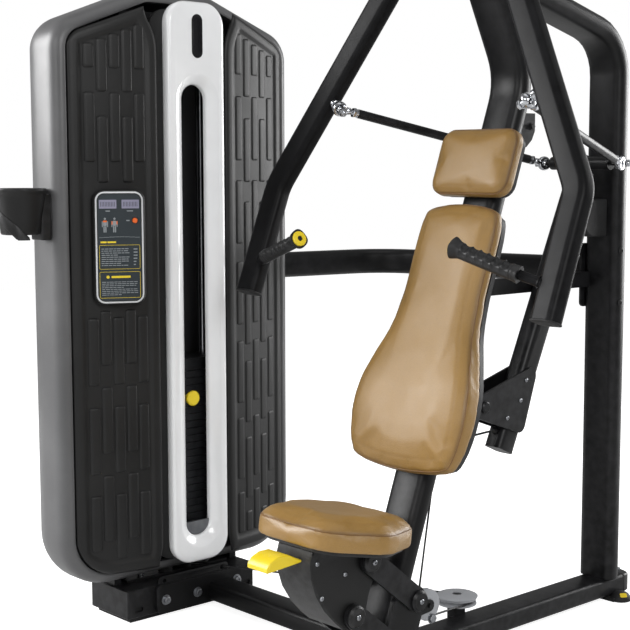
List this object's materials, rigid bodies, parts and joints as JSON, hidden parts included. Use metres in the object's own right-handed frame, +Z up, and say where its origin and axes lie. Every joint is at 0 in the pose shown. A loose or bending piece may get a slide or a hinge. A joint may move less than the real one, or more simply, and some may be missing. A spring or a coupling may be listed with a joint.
{
  "type": "chest press machine",
  "caption": "Seated chest press machine with a covered weight-stack tower, inclined frame, overhead press arms, padded back and an adjustable seat.",
  "frame": {"origin": "on the floor, at the middle of the underside of the front foot plate under the inclined column", "axes": "+Z up; the user sits facing -Y; the weight tower stands on the -X side"},
  "size_m": [1.3164, 1.3775, 1.728],
  "materials": {
    "frame_black": "satin black powder coat with a fine texture",
    "cover_dark": "dark charcoal moulded cover with a fine grain",
    "rim_grey": "charcoal grey moulded shell, smooth",
    "strip_white": "white, high gloss",
    "accent_yellow": "bright yellow, semi gloss",
    "accent_orange": "orange, semi gloss",
    "chrome": "polished",
    "plate_steel": "black painted weight plates",
    "vinyl_tan": "tan upholstery vinyl over foam, satin",
    "shell_grey": "dark grey moulded plastic",
    "rubber_black": "black, matte",
    "pulley_grey": "light grey nylon"
  },
  "bodies": {
    "frame": {"back_pad": "vinyl_tan", "back_shell": "shell_grey", "base_plate": "frame_black", "base_rail": "frame_black", "cable_pull": "rubber_black", "cable_run": "rubber_black", "centre_strip": "strip_white", "column": "frame_black", "console_housing": "cover_dark", "cross_tube": "frame_black", "cup_holder": "shell_grey", "front_bezel": "cover_dark", "guide_rod_front": "chrome", "guide_rod_rear": "chrome", "head_pad": "vinyl_tan", "head_shell": "shell_grey", "lever_bracket": "frame_black", "lever_rest": "rubber_black", "panel_front": "cover_dark", "panel_rear": "cover_dark", "pivot_head": "frame_black", "rail_end_cap": "shell_grey", "rear_foot": "rubber_black", "rear_upright": "frame_black", "stack_bumper": "rubber_black", "stack_plates": "plate_steel", "tower_base": "frame_black", "tower_foot": "rubber_black", "tower_frame": "frame_black", "tower_shell": "rim_grey", "transverse_tube": "frame_black"},
    "button": {"console_button": "accent_orange"},
    "carriage": {"head_plate": "plate_steel", "selected_plates": "plate_steel", "selector_rod": "chrome", "cable_stack": "rubber_black"},
    "pin": {"selector_pin": "accent_yellow"},
    "arm_left": {"arm_left": "frame_black", "grip_left": "rubber_black", "grip_cap_left": "rubber_black"},
    "arm_right": {"arm_right": "frame_black", "grip_right": "rubber_black", "grip_cap_right": "rubber_black"},
    "lever": {"lever": "frame_black", "equaliser_bar": "frame_black"},
    "ball_left": {"rod_ball_left": "chrome"},
    "ball_right": {"rod_ball_right": "chrome"},
    "rod_left": {"press_rod_left": "frame_black"},
    "rod_right": {"press_rod_right": "frame_black"},
    "idler": {"idler_pulley": "pulley_grey"},
    "column_wheel": {"column_pulley": "pulley_grey"},
    "base_wheel": {"base_pulley": "pulley_grey"},
    "tower_low_wheel": {"tower_low_pulley": "pulley_grey"},
    "tower_top_wheel": {"tower_top_pulley": "pulley_grey"},
    "link_upper": {"seat_link_upper": "frame_black"},
    "link_lower": {"seat_link_lower": "frame_black"},
    "seat": {"seat_shield": "shell_grey", "seat_board": "shell_grey", "seat_pad": "vinyl_tan"},
    "release": {"release_lever": "accent_yellow"}
  },
  "joints": [
    {"name": "arm_left_swing", "type": "hinge", "parent": "frame", "child": "arm_left", "pos_m": [0.08913, 0.25879, 1.695], "axis": [-0.9848, 0.1736, 0], "range_deg": [0, 25]},
    {"name": "arm_right_swing", "type": "hinge", "parent": "frame", "child": "arm_right", "pos_m": [-0.08913, 0.25879, 1.695], "axis": [-0.9848, -0.1736, 0], "range_deg": [0, 25]},
    {"name": "lever_swing", "type": "hinge", "parent": "frame", "child": "lever", "pos_m": [0, 0.345, 0.555], "axis": [1, 0, 0], "range_deg": [0, 17.1]},
    {"name": "rod_ball_left_turn", "type": "hinge", "parent": "lever", "child": "ball_left", "pos_m": [0.115, 0.724, 1.107], "axis": [0, 0, 1], "range_deg": [0, 34.9]},
    {"name": "rod_ball_right_turn", "type": "hinge", "parent": "lever", "child": "ball_right", "pos_m": [-0.115, 0.724, 1.107], "axis": [0, 0, -1], "range_deg": [0, 34.9]},
    {"name": "rod_left_swing", "type": "hinge", "parent": "ball_left", "child": "rod_left", "pos_m": [0.115, 0.724, 1.107], "axis": [-0.2616, 0.4422, -0.8579], "range_deg": [0, 51.5]},
    {"name": "rod_right_swing", "type": "hinge", "parent": "ball_right", "child": "rod_right", "pos_m": [-0.115, 0.724, 1.107], "axis": [-0.2616, -0.4422, 0.8579], "range_deg": [0, 51.5]},
    {"name": "stack_lift", "type": "slide", "parent": "frame", "child": "carriage", "axis": [0, 0, 1], "range_m": [0, 0.18], "deforming": ["cable_stack"]},
    {"name": "pin_pull", "type": "slide", "parent": "carriage", "child": "pin", "axis": [1, 0, 0], "range_m": [0, 0.045]},
    {"name": "idler_turn", "type": "hinge", "parent": "frame", "child": "idler", "pos_m": [0, 0.245, 0.452], "axis": [-1, 0, 0], "range_deg": [0, 345]},
    {"name": "column_pulley_turn", "type": "hinge", "parent": "frame", "child": "column_wheel", "pos_m": [0, 0.188, 0.121], "axis": [-1, 0, 0], "range_deg": [0, 345]},
    {"name": "base_pulley_turn", "type": "hinge", "parent": "frame", "child": "base_wheel", "pos_m": [-0.04, 0.335, 0.091], "axis": [0, 0, -1], "range_deg": [0, 259]},
    {"name": "tower_low_pulley_turn", "type": "hinge", "parent": "frame", "child": "tower_low_wheel", "pos_m": [-0.7676, 0.043, 0.126], "axis": [0.419, -0.908, 0], "range_deg": [0, 296]},
    {"name": "tower_top_pulley_turn", "type": "hinge", "parent": "frame", "child": "tower_top_wheel", "pos_m": [-0.757, 0.0197, 1.395], "axis": [-0.2028, -0.9792, 0], "range_deg": [0, 241]},
    {"name": "button_press", "type": "slide", "parent": "frame", "child": "button", "axis": [-0.9015, 0.4327, 0], "range_m": [0, 0.002], "stiffness_N_per_m": 500},
    {"name": "seat_link_upper_swing", "type": "hinge", "parent": "frame", "child": "link_upper", "pos_m": [0, 0.097, 0.164], "axis": [-1, 0, 0], "range_deg": [-25, 15]},
    {"name": "seat_link_lower_swing", "type": "hinge", "parent": "frame", "child": "link_lower", "pos_m": [0, 0.051, 0.056], "axis": [-1, 0, 0], "range_deg": [-25, 15]},
    {"name": "seat_level", "type": "hinge", "parent": "link_upper", "child": "seat", "pos_m": [0, -0.045, 0.279], "axis": [1, 0, 0], "range_deg": [-25, 15]},
    {"name": "release_lift", "type": "hinge", "parent": "seat", "child": "release", "pos_m": [0, -0.216, 0.306], "axis": [-1, 0, 0], "range_deg": [0, 12], "stiffness_Nm_per_rad": 1.5}
  ],
  "couplings": [
    {"joint": "arm_right_swing", "follows": "arm_left_swing", "ratio": 1},
    {"joint": "lever_swing", "follows": "arm_left_swing", "ratio": 0.6791},
    {"joint": "rod_ball_left_turn", "follows": "arm_left_swing", "ratio": 1.3911},
    {"joint": "rod_ball_right_turn", "follows": "arm_left_swing", "ratio": 1.3911},
    {"joint": "rod_left_swing", "follows": "arm_left_swing", "ratio": 2.0517},
    {"joint": "rod_right_swing", "follows": "arm_left_swing", "ratio": 2.0517},
    {"joint": "stack_lift", "follows": "arm_left_swing", "m_per_rad": 0.4124},
    {"joint": "idler_turn", "follows": "arm_left_swing", "ratio": 13.747},
    {"joint": "column_pulley_turn", "follows": "arm_left_swing", "ratio": 13.747},
    {"joint": "base_pulley_turn", "follows": "arm_left_swing", "ratio": 10.31},
    {"joint": "tower_low_pulley_turn", "follows": "arm_left_swing", "ratio": 11.783},
    {"joint": "tower_top_pulley_turn", "follows": "arm_left_swing", "ratio": 9.568},
    {"joint": "seat_link_lower_swing", "follows": "seat_link_upper_swing", "ratio": 1},
    {"joint": "seat_level", "follows": "seat_link_upper_swing", "ratio": 1}
  ]
}
